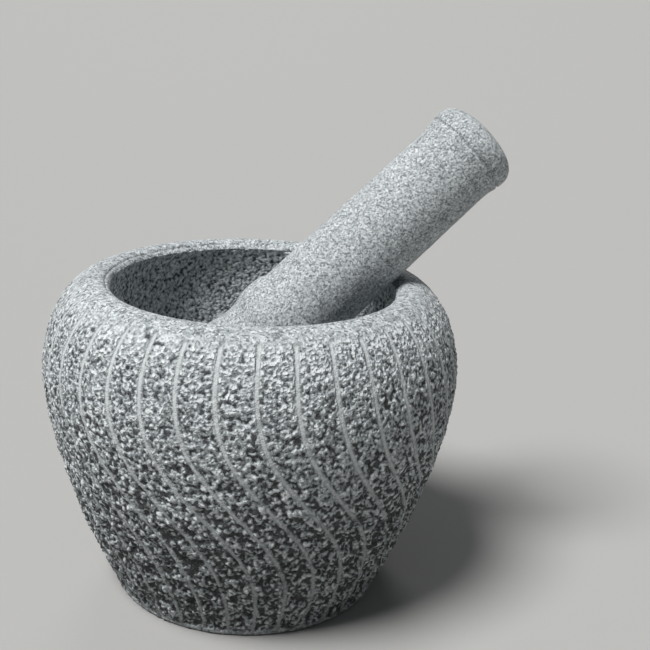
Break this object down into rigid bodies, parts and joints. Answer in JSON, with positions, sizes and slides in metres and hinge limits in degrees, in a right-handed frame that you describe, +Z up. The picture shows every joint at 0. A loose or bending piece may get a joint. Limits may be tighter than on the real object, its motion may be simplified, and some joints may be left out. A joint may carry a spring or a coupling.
{
  "type": "stone mortar and pestle",
  "caption": "Legless granite mortar with a pecked, swirl-lined outside, a smooth lip and a round bowl, and a turned granite pestle that leans on the lip.",
  "frame": {"origin": "centre of the mortar's flat resting face", "axes": "+Z up through the mouth of the bowl, +X towards the side on which the pestle leans on the lip"},
  "size_m": [0.1777, 0.16, 0.1878],
  "materials": {
    "mortar_stone": "matte",
    "pestle_stone": "matte"
  },
  "bodies": {
    "mortar": {"mortar": "mortar_stone"},
    "pestle": {"pestle": "pestle_stone"}
  },
  "joints": [
    {"name": "pestle_lift", "type": "slide", "parent": "mortar", "child": "pestle", "axis": [0, 0, 1], "range_m": [0, 0.12]}
  ]
}
